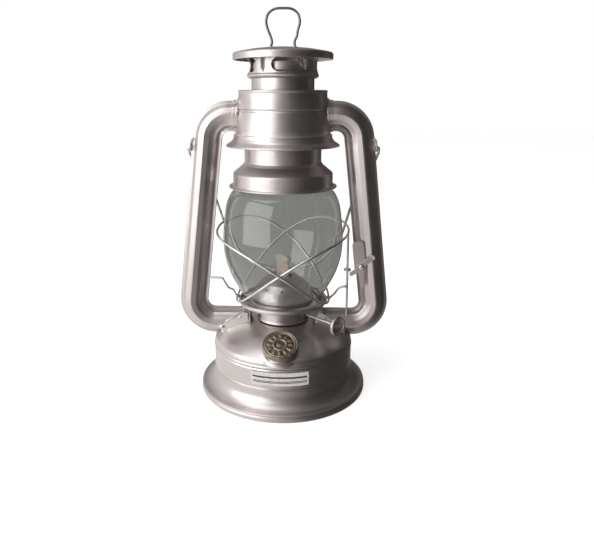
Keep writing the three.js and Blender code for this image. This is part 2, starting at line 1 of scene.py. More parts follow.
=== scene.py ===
"""The looks of a tubular hurricane lantern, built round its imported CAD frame.

The frame is in metres, +Z up, -Y towards the filler cap and +X towards the lift lever. Shapes are drawn
in millimetres and scaled once, when a mesh is made. Pieces turned about the lantern's own axis are drawn
from their CAD node's reach, foot and top, so they lie where the node lies.
"""

import json
import math
import random

import bmesh
import bpy
from mathutils import Matrix, Vector, geometry, noise


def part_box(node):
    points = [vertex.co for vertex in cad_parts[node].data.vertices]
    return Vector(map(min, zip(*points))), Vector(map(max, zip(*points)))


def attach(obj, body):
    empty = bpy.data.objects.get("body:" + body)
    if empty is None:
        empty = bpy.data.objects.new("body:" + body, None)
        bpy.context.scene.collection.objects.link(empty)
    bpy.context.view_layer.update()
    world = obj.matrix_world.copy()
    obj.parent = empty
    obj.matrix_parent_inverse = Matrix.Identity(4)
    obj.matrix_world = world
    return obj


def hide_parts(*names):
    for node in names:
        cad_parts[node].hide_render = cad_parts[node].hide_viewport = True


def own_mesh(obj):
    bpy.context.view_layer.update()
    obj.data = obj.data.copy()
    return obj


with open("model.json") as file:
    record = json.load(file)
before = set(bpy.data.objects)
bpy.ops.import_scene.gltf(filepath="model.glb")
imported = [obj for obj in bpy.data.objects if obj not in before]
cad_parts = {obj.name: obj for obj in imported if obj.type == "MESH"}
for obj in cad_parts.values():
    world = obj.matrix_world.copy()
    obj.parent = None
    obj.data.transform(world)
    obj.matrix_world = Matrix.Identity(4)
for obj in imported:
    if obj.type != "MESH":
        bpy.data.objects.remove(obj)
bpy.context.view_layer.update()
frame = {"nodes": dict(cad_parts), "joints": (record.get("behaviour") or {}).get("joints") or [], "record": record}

MM = 0.001
STEPS = 160  # round a large turned piece
FEW_STEPS = 72  # round a small turned piece
WALL = 0.5  # tinplate
UP = Vector((0, 0, 1))
ACROSS = Vector((0, 1, 0))

record = frame["record"]
BODY = {node: body for body, nodes in record["behaviour"]["bodies"].items() for node in nodes}
SLOT = {part["node"]: part["material_slot"] for part in record["subparts"]}
JOINT = {joint["name"]: joint for joint in frame["joints"]}

TUBE_TOP = (52.3, 200)  # where the centre lines of a tube's runs would meet, in X and Z
TUBE_FOOT = (68.9, 48)
TUBE_BEND = 17
TUBE_LEAN = math.atan((TUBE_FOOT[0] - TUBE_TOP[0]) / (TUBE_TOP[1] - TUBE_FOOT[1]))
SADDLE_INNER = (28.9, 57.8)  # the slanting cut at a tube's lower end
SADDLE_OUTER = (45.5, 47.5)
GUARD_WIRE = 0.8
ROD = (46.8, -4.0)


# ---- materials


def new_material(name, color, metallic, roughness):
    material = bpy.data.materials.new(name)
    material.use_nodes = True
    shader = material.node_tree.nodes["Principled BSDF"]
    shader.inputs["Base Color"].default_value = (*color, 1)
    shader.inputs["Metallic"].default_value = metallic
    shader.inputs["Roughness"].default_value = roughness
    return material, material.node_tree, shader


def shader_node(tree, kind, **values):
    """A shader node, with inputs set to values or linked to sockets; an underscore stands for a space."""
    made = tree.nodes.new("ShaderNode" + kind)
    for name, value in values.items():
        socket = made.inputs[name.replace("_", " ")]
        if isinstance(value, bpy.types.NodeSocket):
            tree.links.new(value, socket)
        else:
            socket.default_value = value
    return made


def noise_texture(tree, scale, detail=3, stretch=(1, 1, 1)):
    """A noise value over the piece, in its own space; scale is in features per metre."""
    place = shader_node(tree, "TexCoord").outputs["Object"]
    mapped = shader_node(tree, "Mapping", Vector=place, Scale=stretch).outputs["Vector"]
    return shader_node(tree, "TexNoise", Vector=mapped, Scale=scale, Detail=detail).outputs["Fac"]


def spread(tree, value, low, high, start=0.35, end=0.65):
    """A texture value between start and end, spread over low to high."""
    made = shader_node(tree, "MapRange", Value=value, From_Min=start, From_Max=end, To_Min=low, To_Max=high)
    return made.outputs["Result"]


def tint(tree, share, first, second):
    mix = tree.nodes.new("ShaderNodeMix")
    mix.data_type = "RGBA"
    tree.links.new(share, mix.inputs["Factor"])
    for socket, color in zip([s for s in mix.inputs if s.type == "RGBA"], (first, second)):
        if isinstance(color, tuple):
            socket.default_value = (*color, 1)
        else:
            tree.links.new(color, socket)
    return next(s for s in mix.outputs if s.type == "RGBA")


def bump(tree, shader, height, depth, strength=1.0, under=None):
    """Relief of a real depth in metres, laid over any relief under it."""
    lower = {"Normal": under} if under else {}
    made = shader_node(tree, "Bump", Distance=depth, Strength=strength, Height=height, **lower)
    tree.links.new(made.outputs["Normal"], shader.inputs["Normal"])
    return made.outputs["Normal"]


def edge_share(tree, start, end):
    """From 0 on flats and in corners to 1 on raised edges."""
    return spread(tree, shader_node(tree, "NewGeometry").outputs["Pointiness"], 0, 1, start, end)


def surface(tree, shader, color, grain, smooth, rough, *ends):
    """Gives a shader its colour, and a roughness that follows a texture from smooth to rough."""
    tree.links.new(color, shader.inputs["Base Color"])
    tree.links.new(spread(tree, grain, smooth, rough, *ends), shader.inputs["Roughness"])


def painted(name, color, worn, roughness):
    """Aluminium paint: fine flake, orange peel, dull patches from handling, and brighter worn edges."""
    material, tree, shader = new_material(name, color, 0.98, roughness)
    flake = spread(tree, noise_texture(tree, 5200, 2), 0, 1)
    flaked = tint(tree, flake, tuple(c * 0.96 for c in color), tuple(min(1, c * 1.04) for c in color))
    patches = spread(tree, noise_texture(tree, 34, 4), 0, 0.3)
    dull = tint(tree, patches, flaked, tuple(c * 0.86 for c in color))
    edged = tint(tree, edge_share(tree, 0.515, 0.58), dull, worn)
    surface(tree, shader, edged, noise_texture(tree, 60, 5), roughness - 0.04, roughness + 0.07)
    peel = bump(tree, shader, noise_texture(tree, 850, 2), 0.000009, 0.55)
    bump(tree, shader, noise_texture(tree, 42, 2), 0.00022, 0.5, peel)
    return material


def drawn_metal(name, color, dark, roughness, grain=(1, 1, 1)):
    """Bare metal with fine drawing marks and dull tarnish."""
    material, tree, shader = new_material(name, color, 1.0, roughness)
    tarnish = spread(tree, noise_texture(tree, 150, 5), 0, 0.75)
    drawing_marks = noise_texture(tree, 420, 4, grain)
    surface(tree, shader, tint(tree, tarnish, color, dark), drawing_marks, roughness - 0.06, roughness + 0.14)
    bump(tree, shader, noise_texture(tree, 1600, 3, grain), 0.00001)
    return material


def aged_brass():
    """Brass that has gone brown in the hollows and is rubbed bright on what stands up."""
    material, tree, shader = new_material("aged_brass", (0.33, 0.27, 0.19), 0.95, 0.36)
    patches = spread(tree, noise_texture(tree, 260, 5), 0, 1)
    dark = tint(tree, patches, (0.16, 0.132, 0.096), (0.34, 0.283, 0.2))
    rubbed = tint(tree, edge_share(tree, 0.5, 0.56), dark, (0.72, 0.64, 0.5))
    surface(tree, shader, rubbed, noise_texture(tree, 500, 4), 0.26, 0.5)
    bump(tree, shader, noise_texture(tree, 1500, 4), 0.00003)
    return material


def cotton():
    """Woven wick: warp and weft ribs, a scorched, yellowed top, and a pinkish stem below it."""
    material, tree, shader = new_material("cotton", (0.8, 0.74, 0.58), 0, 0.95)
    shader.inputs["Sheen Weight"].default_value = 0.5
    shader.inputs["Sheen Roughness"].default_value = 0.6
    place = shader_node(tree, "TexCoord").outputs["Object"]
    height = shader_node(tree, "SeparateXYZ", Vector=place).outputs["Z"]
    head_foot, head_middle = 0.0926, 0.0952
    up_the_wick = spread(tree, height, 0, 1, head_foot, head_middle)
    speckle = spread(tree, noise_texture(tree, 900, 4), 0, 1)
    stem = tint(tree, speckle, (0.9, 0.62, 0.54), (1, 0.86, 0.79))
    head = tint(tree, speckle, (0.8, 0.75, 0.48), (1, 0.98, 0.84))
    tree.links.new(tint(tree, up_the_wick, stem, head), shader.inputs["Base Color"])
    weave = shader_node(tree, "TexWave", Vector=place, Scale=420, Distortion=1.5).outputs["Fac"]
    ribs = bump(tree, shader, weave, 0.0002, 0.7)
    bump(tree, shader, noise_texture(tree, 1800, 3), 0.0002, 0.7, ribs)
    return material


def rubber():
    material, tree, shader = new_material("black_rubber", (0.014, 0.014, 0.013), 0, 0.75)
    bloom = tint(tree, noise_texture(tree, 300, 3), (0.01, 0.01, 0.01), (0.026, 0.025, 0.024))
    surface(tree, shader, bloom, noise_texture(tree, 700, 4), 0.62, 0.86)
    bump(tree, shader, noise_texture(tree, 2200, 2), 0.00003)
    return material


def clear_glass():
    """Pressed soda glass: a faint green, slow waves, and a few dull finger marks."""
    material, tree, shader = new_material("clear_glass", (0.985, 0.992, 0.987), 0, 0.02)
    shader.inputs["Transmission Weight"].default_value = 1.0
    shader.inputs["IOR"].default_value = 1.5
    green = tint(tree, noise_texture(tree, 30, 2), (0.975, 0.985, 0.978), (0.992, 0.997, 0.994))
    surface(tree, shader, green, noise_texture(tree, 70, 5), 0, 0.05, 0.5, 0.75)
    bump(tree, shader, noise_texture(tree, 48, 1, (1, 1, 0.35)), 0.0006, 0.35)
    return material


def flat_ink():
    material, tree, shader = new_material("label_ink", (0.03, 0.03, 0.032), 0, 0.5)
    tree.links.new(tint(tree, noise_texture(tree, 1200, 3), (0.02, 0.02, 0.02), (0.09, 0.085, 0.08)),
                   shader.inputs["Base Color"])
    return material


def plate_enamel():
    """The nameplate's pale face, a little scuffed."""
    material, tree, shader = new_material("plate_enamel", (0.62, 0.59, 0.58), 0, 0.42)
    scuff = spread(tree, noise_texture(tree, 380, 5), 0, 1)
    face = tint(tree, scuff, (0.55, 0.52, 0.51), (0.66, 0.63, 0.62))
    surface(tree, shader, face, noise_texture(tree, 900, 3), 0.34, 0.5)
    return material


MATERIAL = {
    "silver_paint": painted("silver_paint", (0.66, 0.615, 0.605), (0.86, 0.84, 0.82), 0.35),
    "wire_steel": drawn_metal("wire_steel", (0.9, 0.885, 0.865), (0.68, 0.66, 0.63), 0.34, (1, 1, 0.2)),
    "bare_tin": drawn_metal("bare_tin", (0.68, 0.665, 0.65), (0.48, 0.46, 0.44), 0.4),
    "spring_steel": drawn_metal("spring_steel", (0.28, 0.275, 0.265), (0.13, 0.12, 0.11), 0.34),
    "aged_brass": aged_brass(),
    "brass": drawn_metal("brass", (0.66, 0.5, 0.22), (0.36, 0.25, 0.11), 0.3),
    "black_rubber": rubber(),
    "cotton": cotton(),
    "clear_glass": clear_glass(),
}
INK = flat_ink()
ENAMEL = plate_enamel()


# ---- drawing helpers


def measure(node):
    """A CAD node's reach from the lantern's axis, its foot and its top, in millimetres."""
    points = [v.co for v in frame["nodes"][node].data.vertices]
    reach = max(math.hypot(p.x, p.y) for p in points)
    return reach / MM, min(p.z for p in points) / MM, max(p.z for p in points) / MM


def rows(reach, foot, *offsets):
    """Corners of a profile, from their offsets to a reach and a foot."""
    return [(reach + x, foot + z, *radius) for x, z, *radius in offsets]


def softened(corners, closed=False):
    """A line through (x, y) or (x, y, radius) corners, each bent in a short curve of about that radius."""
    usual = 0.8
    points = [Vector(c[:2]) for c in corners]
    radii = [c[2] if len(c) > 2 else usual for c in corners]
    count = len(points)
    line = []
    for i, point in enumerate(points):
        if not closed and i in (0, count - 1):
            line.append(tuple(point))
            continue
        before, after = points[i - 1] - point, points[(i + 1) % count] - point
        turn = math.pi - before.angle(after, math.pi)
        if turn < math.radians(3) or radii[i] == 0:
            line.append(tuple(point))
            continue
        reach = min(radii[i] * math.tan(turn / 2), 0.45 * before.length, 0.45 * after.length)
        start, end = point + before.normalized() * reach, point + after.normalized() * reach
        steps = max(2, math.ceil(math.degrees(turn) / 14))
        for k in range(steps + 1):
            t = k / steps
            line.append(tuple(start * (1 - t) ** 2 + point * 2 * t * (1 - t) + end * t * t))
    return line


def shell(corners, wall=WALL):
    """A closed sheet-metal profile: the line drawn with the outside on its right, and its inner face."""
    outer = [Vector(p) for p in softened(corners)]
    inner = []
    for i, point in enumerate(outer):
        along = outer[min(i + 1, len(outer) - 1)] - outer[max(i - 1, 0)]
        inward = Vector((-along.y, along.x)).normalized()
        inner.append(point + inward * wall)
    return [(0 if p.x < 0.02 else p.x, p.y) for p in [*outer, *reversed(inner)]]


def loop(corners):
    """A closed softened line."""
    return softened(corners, closed=True)


def arc(centre, radius, start, end, steps):
    """Points on an arc, from one angle to another in degrees, with no further softening."""
    angles = [math.radians(start + (end - start) * k / steps) for k in range(steps + 1)]
    return [(centre[0] + radius * math.cos(a), centre[1] + radius * math.sin(a), 0) for a in angles]


def at(*point):
    """A move to a point in millimetres."""
    return Matrix.Translation(Vector(point) * MM)


def placed(name, data):
    """A new object in the scene."""
    thing = bpy.data.objects.new(name, data)
    bpy.context.scene.collection.objects.link(thing)
    return thing


def skin(base, rings, size):
    """Faces between rings of vertices that follow each other from base on."""
    faces = []
    for near in range(base, base + (rings - 1) * size, size):
        for k in range(size):
            n = (k + 1) % size
            faces.append((near + k, near + n, near + size + n, near + size + k))
    return faces


def mesh_object(name, vertices, faces):
    data = bpy.data.meshes.new(name)
    data.from_pydata([tuple(c * MM for c in v) for v in vertices], [], faces)
    tidy = bmesh.new()
    tidy.from_mesh(data)
    bmesh.ops.recalc_face_normals(tidy, faces=tidy.faces)
    tidy.to_mesh(data)
    tidy.free()
    return placed(name, data)


def lathe(name, line, steps=STEPS, shape=None):
    """Turns a closed line of (radius, height) about +Z. shape(angle, radius, height) may move a point."""
    vertices, rings = [], []
    for radius, height in line:
        if radius < 1e-4:
            rings.append([len(vertices)] * steps)
            vertices.append((0, 0, height))
            continue
        rings.append(range(len(vertices), len(vertices) + steps))
        for k in range(steps):
            angle = math.tau * k / steps
            r, z = shape(angle, radius, height) if shape else (radius, height)
            vertices.append((r * math.cos(angle), r * math.sin(angle), z))
    faces = []
    for lower, upper in zip(rings, rings[1:] + rings[:1]):
        for k in range(steps):
            n = (k + 1) % steps
            corners = list(dict.fromkeys([lower[k], lower[n], upper[n], upper[k]]))
            if len(corners) > 2:
                faces.append(corners)
    return mesh_object(name, vertices, faces)


def bent(corners, bend, step=7.5):
    """Points along straight lengths between 3-D corners, with an arc of the bend radius at each."""
    points = [Vector(c) for c in corners]
    line = [points[0]]
    for before, point, after in zip(points, points[1:], points[2:]):
        come, go = (point - before).normalized(), (after - point).normalized()
        turn = come.angle(go)
        axis = come.cross(go).normalized()
        inward = axis.cross(come)
        centre = point - come * bend * math.tan(turn / 2) + inward * bend
        steps = max(2, math.ceil(math.degrees(turn) / step))
        for k in range(steps + 1):
            line.append(centre + Matrix.Rotation(turn * k / steps, 3, axis) @ (-inward * bend))
    line.append(points[-1])
    return line


def matched(section, bore):
    """The bore's point on each spoke from the middle to a point of the section round it."""
    far = 40
    sides = list(zip(bore, bore[1:] + bore[:1]))
    found = []
    for x, y in section:
        spoke = Vector((x, y)).normalized() * far
        hits = [geometry.intersect_line_line_2d((0, 0), spoke, a, b) for a, b in sides]
        found.append(tuple(next(hit for hit in hits if hit)))
    return found


def sweep(name, section, route, side, bore=None):
    """A closed section of (inward, sideways) points swept along a flat route; a bore makes it a tube."""
    loops = [section, matched(section, bore)] if bore else [section]
    stations = []
    for i, point in enumerate(route):
        along = (route[min(i + 1, len(route) - 1)] - route[max(i - 1, 0)]).normalized()
        stations.append((point, side.cross(along).normalized()))
    vertices, faces = [], []
    size = len(section)
    for line in loops:
        faces += skin(len(vertices), len(stations), size)
        for point, inward in stations:
            vertices.extend(tuple(point + inward * x + side * y) for x, y in line)
    for end in (0, (len(stations) - 1) * size):
        if bore:
            inner = end + len(stations) * size
            for k in range(size):
                n = (k + 1) % size
                faces.append((end + k, end + n, inner + n, inner + k))
        else:
            faces.append(tuple(range(end, end + size)))
    return mesh_object(name, vertices, faces)


def wire(name, points, radius, sides=14):
    """Round wire along points in millimetres, with rounded ends."""
    route = [Vector(p) for p in points]
    first, last = route[0], route[-1]
    come, go = (route[1] - first).normalized(), (last - route[-2]).normalized()
    lengths = (0, 0.35, 0.8, 1.3)
    shares = (0.3, 0.75, 0.95, 1)
    head = [(first + come * radius * s, w) for s, w in zip(lengths, shares)]
    tail = [(last - go * radius * s, w) for s, w in zip(lengths, shares)]
    run = [*head, *((p, 1) for p in route[1:-1]), *reversed(tail)]
    vertices = []
    along = come
    normal = along.orthogonal().normalized()
    for i, (point, share) in enumerate(run):
        ahead = run[min(i + 1, len(run) - 1)][0] - run[max(i - 1, 0)][0]
        turn = along.rotation_difference(ahead.normalized())
        normal = turn @ normal
        along = ahead.normalized()
        other = along.cross(normal)
        for k in range(sides):
            angle = math.tau * k / sides
            spoke = normal * math.cos(angle) + other * math.sin(angle)
            vertices.append(tuple(point + spoke * radius * share))
    ends = [tuple(range(sides)), tuple(range((len(run) - 1) * sides, len(run) * sides))]
    return mesh_object(name, vertices, skin(0, len(run), sides) + ends)


def prism(name, outline, front, depth):
    """An outline in X and Z, given thickness along Y from front."""
    count = len(outline)
    vertices = [(x, y, z) for y in (front, front + depth) for x, z in outline]
    ends = [tuple(range(count)), tuple(range(count, 2 * count))]
    return mesh_object(name, vertices, ends + skin(0, 2, count))


def baked(piece):
    """Applies the piece's modifiers."""
    graph = bpy.context.evaluated_depsgraph_get()
    data = bpy.data.meshes.new_from_object(piece.evaluated_get(graph))
    piece.modifiers.clear()
    piece.data = data
    return piece


def carved(piece, *cutters):
    for cutter in cutters:
        cut = piece.modifiers.new("cut", "BOOLEAN")
        cut.operation = "DIFFERENCE"
        cut.solver = "EXACT"
        cut.object = cutter
    baked(piece)
    for cutter in cutters:
        bpy.data.objects.remove(cutter)
    return piece


def bevel(piece, width, segments, angle):
    edge = piece.modifiers.new("bevel", "BEVEL")
    edge.width = width * MM
    edge.segments = segments
    edge.limit_method = "ANGLE"
    edge.angle_limit = math.radians(angle)


def bevelled(piece, width, segments=3):
    bevel(piece, width, segments, 32)
    return baked(piece)


def moved(piece, matrix):
    piece.data.transform(matrix)
    return piece


def flipped(piece):
    """Moves a piece to the other side of the lantern."""
    piece.data.transform(Matrix.Scale(-1, 4, (1, 0, 0)))
    piece.data.flip_normals()
    return piece


def dressed(piece, body, slot, material=None, sharp=38):
    """Gives a finished mesh its material, the slot's own unless one is given, and its shading and body."""
    piece.data.materials.clear()
    piece.data.materials.append(material or MATERIAL[slot])
    piece.data.shade_smooth()
    piece.data.set_sharp_from_angle(angle=math.radians(sharp))
    weighted = piece.modifiers.new("weighted_normals", "WEIGHTED_NORMAL")
    weighted.keep_sharp = True
    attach(piece, body)
    return piece


def trim(piece):
    """Dresses a painted extra on the frame."""
    return dressed(piece, "frame", "silver_paint")


def stand_for(piece, node, sharp=38):
    """Dresses a piece that stands for a CAD node, on the node's own body and slot."""
    dressed(piece, BODY[node], SLOT[node], sharp=sharp)
    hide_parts(node)
    return piece


def upright_to(direction):
    """The turn that takes +Z to a direction."""
    return UP.rotation_difference(direction).to_matrix().to_4x4()


def joint_frame(joint):
    """The place of a joint, with its axis as +Z."""
    axis = Vector(joint["axis"])
    return Matrix.Translation(Vector(joint["pos_m"])) @ upright_to(axis)


def solder(name, centre, size, body, seed):
    """A small uneven blob of solder under the paint, squashed to size."""
    work = bmesh.new()
    bmesh.ops.create_icosphere(work, subdivisions=3, radius=1)
    for vertex in work.verts:
        swell = 1 + 0.22 * noise.noise(vertex.co * 1.7 + Vector((seed, 0, 0)))
        point = [c + s * v * swell for c, s, v in zip(centre, size, vertex.co)]
        vertex.co = Vector(point) * MM
    data = bpy.data.meshes.new(name)
    work.to_mesh(data)
    work.free()
    return dressed(placed(name, data), body, "silver_paint")


def spun(name, line, depth, seed):
    """A large turned piece with the slight unevenness of handwork."""
    def shape(angle, radius, height):
        spot = Vector((math.cos(angle) * 1.3, math.sin(angle) * 1.3, height / 26 + seed))
        return radius + depth * noise.noise(spot), height
    return lathe(name, line, shape=shape)


# ---- fount and filler


def fount():
    reach, foot, top = measure("fount_base")
    band = measure("fount_dome")[0]
    flare = reach - 1 - band
    base = shell([
        *rows(reach, foot, (-3.4, 1.6), (-2.6, 0), (-0.7, 0, 0.6), (0, 0.9, 0.6), (0, 3.2, 0.6),
              (-0.7, 4, 0.4), (-0.2, 5, 0.4)),
        *arc((band + flare, 14.7), flare, 270, 182, 14),
        (band, 17.5, 1), (band + 0.25, 18.4, 0.5), (band, 19.3, 0.5), (band, top - 1), (band - 0.3, top),
    ])
    stand_for(spun("fount_shell", base, 0.09, 3), "fount_base")

    rim, floor, _ = measure("fount_bottom")
    bottom = shell([
        (0, floor), (14, floor, 1), (15, floor + 0.5, 1), (16, floor, 1), (rim - 4.2, floor, 2),
        (rim, floor + 4.6, 1), (rim, floor + 8.2),
    ][::-1])
    stand_for(lathe("fount_floor", bottom), "fount_bottom")

    _, seam, crown = measure("fount_dome")
    mouth = 16.3
    shoulder, control, end = Vector((49.9, 39.3)), Vector((38, 48.5)), Vector((mouth, crown))
    parts = 26
    swept = []
    for k in range(parts + 1):
        t = k / parts
        spot = shoulder * (1 - t) ** 2 + control * 2 * t * (1 - t) + end * t * t
        swept.append((spot.x, spot.y, 0))
    dome = shell([
        *rows(band, seam, (-0.4, 0), (0.3, 0.3, 0.3), (0.35, 1.3, 0.4), (-0.1, 2, 0.5), (-0.2, 3.6, 1.5)),
        *swept,
    ])
    cap_frame = joint_frame(JOINT["cap_turn"])
    hole = moved(lathe("hole", [(0, -8), (9.9, -8), (9.9, 8), (0, 8)], FEW_STEPS), cap_frame)
    stand_for(carved(spun("fount_dome_skin", dome, 0.12, 8), hole), "fount_dome")

    reach, foot, top = measure("fount_collar")
    bore = reach - 2.1
    collar = loop([(bore, foot, 0.3), (reach, foot, 0.3), (reach, top, 0.3), (bore, top, 0.3)])
    stand_for(lathe("collar_ring", collar, FEW_STEPS), "fount_collar")

    for side, seed in ((-1, 2), (1, 5)):
        solder(f"seam_solder_{seed}", (side * 30, 40.5, 34.2), (2.4, 0.9, 0.7), "frame", seed)


def back_seam():
    """The folded upright seam at the back of the fount's band."""
    band, seam, _ = measure("fount_dome")
    outline = [(-2.2, 0), (-1.9, 0.45), (1.9, 0.45), (2.2, 0)]
    low, high, sunk = 17, seam - 0.6, 0.15
    vertices = [(x, band - sunk + y, z) for z in (low, high) for x, y in outline]
    strip = mesh_object("fount_back_seam", vertices, [(0, 1, 2, 3), (4, 5, 6, 7), *skin(0, 2, 4)])
    trim(bevelled(strip, 0.15))


def curved_panel(name, radius, half_angle, low, high, thick):
    """A thin plate bent round the front of the fount."""
    steps = 40
    vertices = []
    for r in (radius, radius + thick):
        for z in (low, high):
            for k in range(steps + 1):
                angle = math.radians(-90) + half_angle * (2 * k / steps - 1)
                vertices.append((r * math.cos(angle), r * math.sin(angle), z))
    row = steps + 1
    faces = []
    for k in range(steps):
        back_low, back_high, front_low, front_high = (k + i * row for i in range(4))
        faces += [
            (back_low, back_low + 1, back_high + 1, back_high),
            (front_low, front_low + 1, front_high + 1, front_high),
            (back_low, back_low + 1, front_low + 1, front_low),
            (back_high, back_high + 1, front_high + 1, front_high),
        ]
    faces += [(0, row, 3 * row, 2 * row), (steps, row + steps, 3 * row + steps, 2 * row + steps)]
    return mesh_object(name, vertices, faces)


def nameplate():
    """A pale plate with one thick and two thin ruled lines, in place of any lettering."""
    low, high = (p.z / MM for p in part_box("nameplate"))
    outer = measure("nameplate")[0]
    half = math.asin(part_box("nameplate")[1].x / MM / outer)
    plate = bevelled(curved_panel("nameplate_plate", outer - 0.95, half, low, high, 0.7), 0.2, 2)
    stand_for(plate, "nameplate", sharp=30)
    plate.data.materials[0] = ENAMEL
    inset, line, face = 1.1, 0.45, outer - 0.3
    margin = inset / outer
    rules = [
        (high - inset - 2.9, high - inset - 1.7, half - margin),
        (low + inset + 1.9, low + inset + 1.9 + line, half - 1.3 * margin),
        (low + inset + 1, low + inset + 1 + line, half - 1.3 * margin),
    ]
    for number, (z_low, z_high, angle) in enumerate(rules):
        rule = curved_panel(f"nameplate_rule_{number}", face, angle, z_low, z_high, 0.12)
        dressed(rule, "frame", "silver_paint", INK)


def filler():
    place = joint_frame(JOINT["cap_turn"])
    neck = [(8.7, -3), (9.6, -3), (9.6, 3), (9.1, 3.2), (8.7, 3)]
    parts = 24
    line = []
    for (x, z), (next_x, next_z) in zip(neck, neck[1:] + neck[:1]):
        line += [(x + (next_x - x) * k / parts, z + (next_z - z) * k / parts) for k in range(parts)]

    def threads(angle, radius, height):
        on_thread = radius > 9.3 and -1 < height < 2.8
        return (radius + 0.22 * math.sin(angle + height * 4.2) if on_thread else radius), height

    stand_for(moved(lathe("filler_neck_tube", line, FEW_STEPS, threads), place), "filler_neck")

    boss = shell([(14.2, -3.1), (13.4, -1.8, 1.4), (11.2, -0.9, 1.2), (10.6, 0.4, 0.5), (9.9, 0.5)], 0.45)
    trim(moved(lathe("filler_boss", boss, FEW_STEPS), place))

    seal = softened([(0, 3.35, 0), (10.5, 3.35, 0.2), (10.5, 4.15, 0.2), (0, 4.15, 0)])
    stand_for(moved(lathe("filler_seal_disc", seal, FEW_STEPS), place), "filler_gasket")
    filler_cap(place)


def filler_cap(place):
    """A dark screw cap: grip flutes round its skirt, and a plain sunburst with rings on its face."""
    reach, rings = 12.4, 60
    face = [(reach * k / rings * 0.9, 4.9) for k in range(rings - 1, -1, -1)]
    skirt = rows(reach, 0, (-1.3, 1.2, 0.2), (-0.1, 1.2, 0.2), (0, 2, 0.3), (0, 4, 0.8), (-0.6, 5, 0.5),
                 (-1.1, 5, 0.3))
    inner = [(0, 4.3, 0), (reach - 1.4, 4.3, 0.3)]

    def relief(angle, radius, height):
        if radius > reach - 0.5 and height < 4.4:
            return radius - 0.22 * (0.5 + 0.5 * math.cos(angle * 48)), height
        if height < 4.6 or radius > reach - 1.2:
            return radius, height
        share = radius / reach
        ray = 0.5 + 0.5 * math.cos(angle * 12)
        rise = 0.42 * math.exp(-((share - 0.82) / 0.035) ** 2)
        rise += 0.36 * math.exp(-((share - 0.36) / 0.05) ** 2)
        rise += 0.34 * ray ** 2 * max(0, 1 - ((share - 0.59) / 0.17) ** 2)
        rise += 0.4 * max(0, 1 - (share / 0.22) ** 2)
        return radius, height + rise - 0.25

    line = softened([*inner, *skirt]) + face
    piece = lathe("filler_cap_medal", line, 192, relief)
    stand_for(moved(piece, place), "filler_cap", sharp=60)


# ---- burner


def burner():
    shaft_axis = -Vector(JOINT["knob_turn"]["axis"])
    turn = Matrix.Rotation(math.atan2(shaft_axis.y, shaft_axis.x), 4, "Z")
    along_shaft = Matrix.Translation(Vector(JOINT["knob_turn"]["pos_m"])) @ upright_to(shaft_axis)

    gallery, foot, top = measure("burner_body")
    drum = 18.6
    body = shell([
        *rows(drum, foot, (0.1, 0), (0.55, 0.5, 0.5), (0.1, 1.3, 0.5), (0, 2, 0.5), (0, 8.8, 2.5),
              (1.2, 10.6, 2)),
        *rows(gallery, top, (-0.6, -2.2, 1.5), (0, -0.8, 0.5), (0, 0)),
    ])
    hole = moved(lathe("hole", [(0, 10), (1.6, 10), (1.6, 26), (0, 26)], 24), along_shaft)
    stand_for(carved(lathe("burner_drum", body), hole), "burner_body")
    eyelet = loop([(1.3, 17.7, 0.3), (2.7, 17.7, 0.3), (2.7, 18.9, 0.3), (2.2, 19.3, 0.3), (1.3, 19.1, 0.3)])
    trim(moved(lathe("shaft_eyelet", eyelet, 40), along_shaft))
    burner_cone(turn)
    wick(turn)

    start, end = -6, 47.65
    rod = wire("shaft_rod", [(0, 0, start), *[(0, 0, z) for z in range(0, 46, 3)], (0, 0, end)], 0.9)
    stand_for(moved(rod, along_shaft), "wick_shaft")
    knob(along_shaft)


def burner_cone(turn):
    reach, foot, top = measure("burner_cone")
    line = shell([
        *rows(reach, foot, (0.1, 0), (0.1, 1.2, 0.6), (-0.7, 2.2, 0.8), (-1.6, 4.9, 2), (-3, 7.3, 2),
              (-6.6, 11.5, 4), (-13.2, 16.1, 5)),
        (7.4, top - 0.6, 3), (0, top),
    ], 0.45)
    slot = loop([(-8.5, 80), (8.5, 80), (8.5, 93), (-8.5, 93)])
    cutters = [moved(prism("slot", slot, -3.2, 6.4), turn)]
    holes, out, up, slope = 10, reach - 4.6, foot + 8.6, 0.7
    for number in range(holes):
        angle = math.radians(360 / holes * (number + 0.5))
        x, y = math.cos(angle), math.sin(angle)
        tilt = at(x * out, y * out, up) @ upright_to(Vector((x, y, slope)))
        cutters.append(moved(lathe("air_hole", [(0, -3), (0.8, -3), (0.8, 3), (0, 3)], 20), tilt))
    stand_for(carved(lathe("cone_dome", line), *cutters), "burner_cone")

    x, y = 8.9, 3.5
    lip = bent([(x, 0, 0), (x, y, 0), (-x, y, 0), (-x, -y, 0), (x, -y, 0), (x, 0, 0)], 1.4)
    curve = 0.0198  # how far the cone's top falls away, per millimetre squared
    rise = [(p.x, p.y, top - 0.25 - curve * p.x ** 2) for p in lip]
    trim(moved(wire("flame_slot_lip", rise, 0.42, 10), turn))


